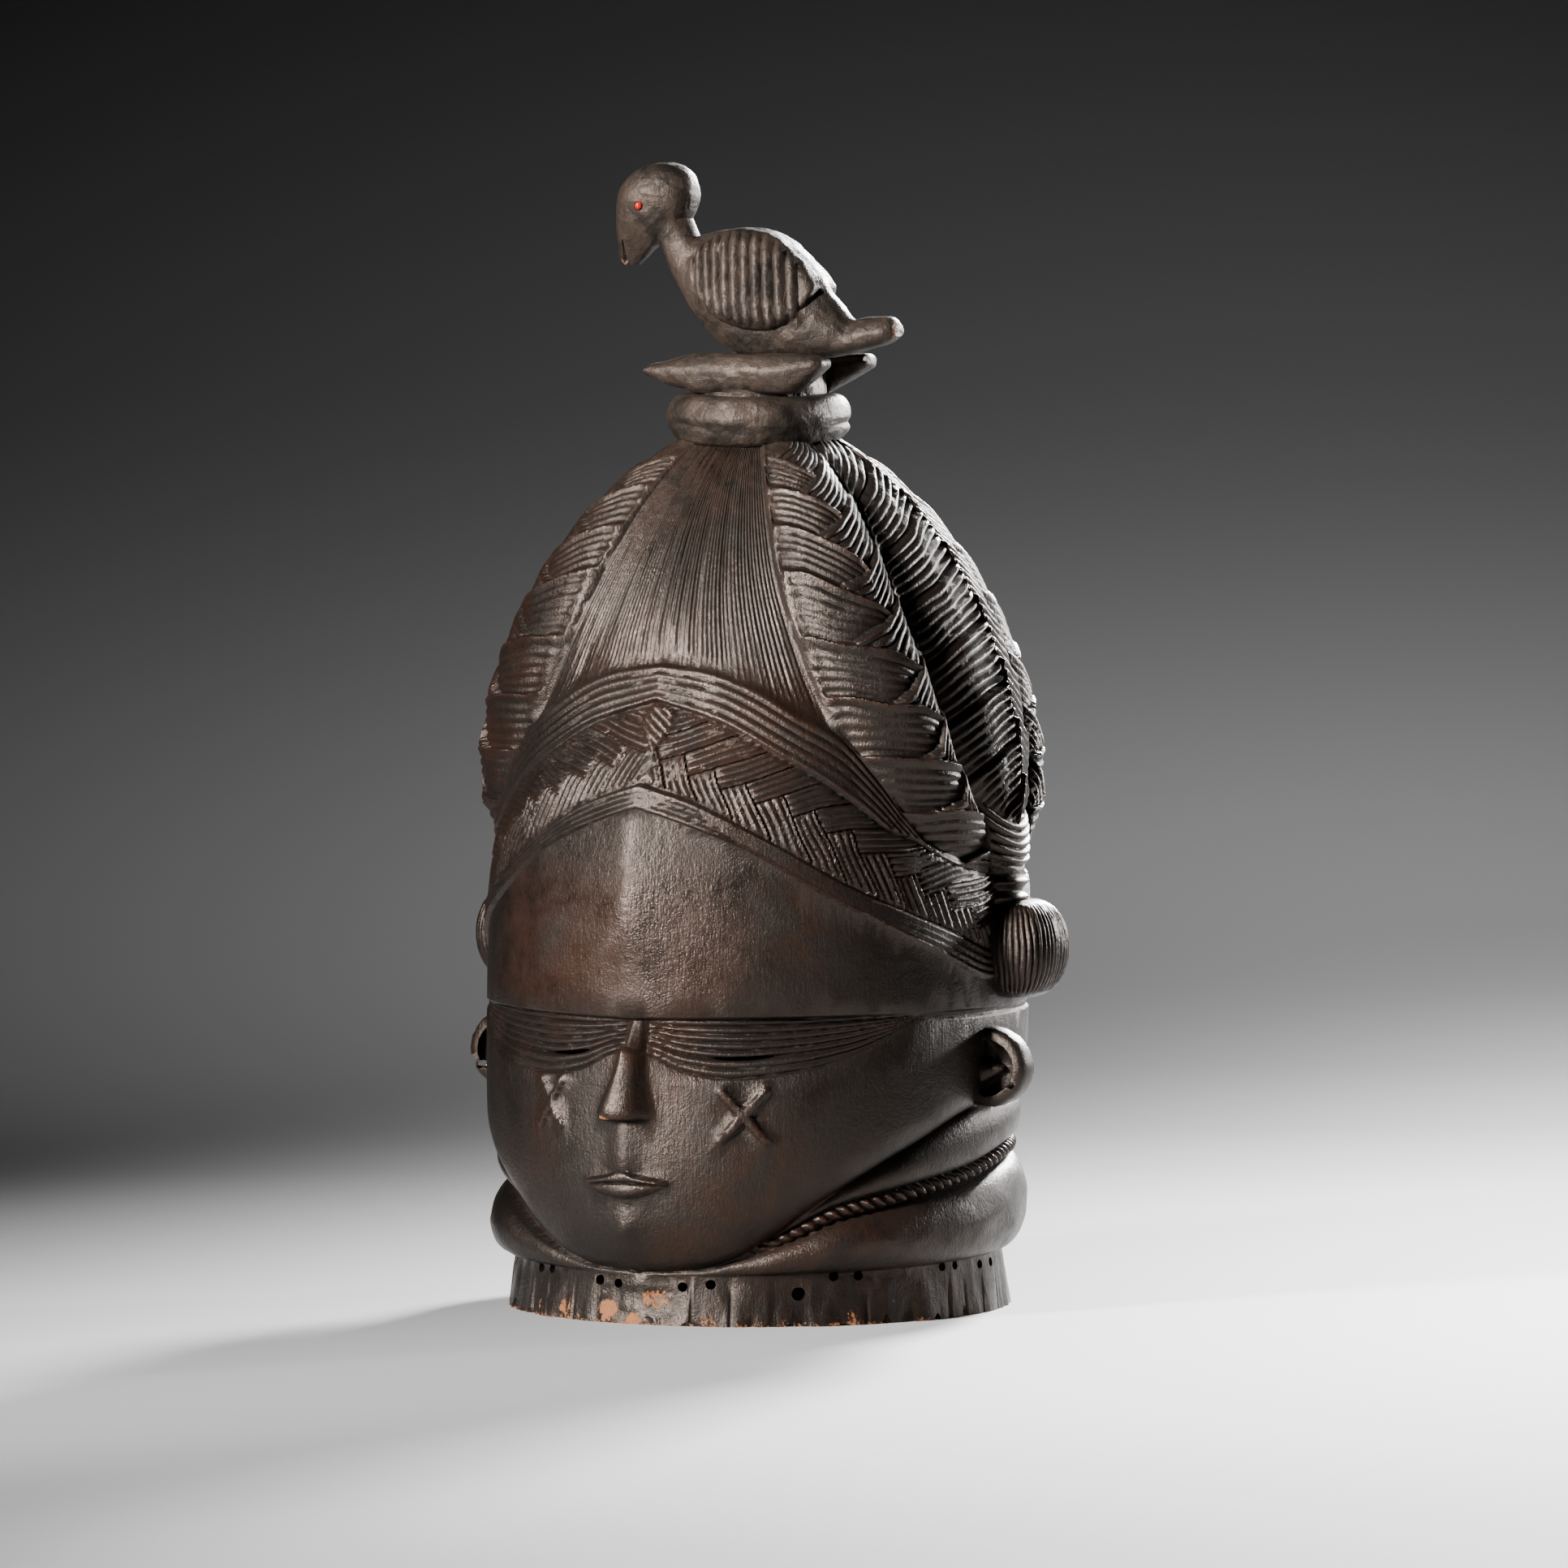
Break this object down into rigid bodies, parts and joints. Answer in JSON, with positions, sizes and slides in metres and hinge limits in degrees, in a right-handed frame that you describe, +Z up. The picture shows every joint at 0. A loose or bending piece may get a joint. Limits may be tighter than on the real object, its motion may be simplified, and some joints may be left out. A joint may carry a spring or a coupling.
{
  "type": "sande helmet mask",
  "caption": "Carved wooden helmet mask with a tall plaited coiffure, a ringed neck, a collar, pointed bars and a bird on top; hollow and open below.",
  "frame": {"origin": "middle of the mask's box, on the ground under the rim", "axes": "+Z up through the bird, the face looks along -Y, the wearer's left is +X"},
  "size_m": [0.2546, 0.2306, 0.45],
  "materials": {
    "carved_wood": "blackened and oiled, polished by handling, reddish brown where worn, bare orange wood at chips",
    "red_seed": "smooth red seed"
  },
  "bodies": {
    "root": {"mask": "carved_wood", "bird_eye_near": "red_seed", "bird_eye_far": "red_seed"}
  },
  "joints": []
}
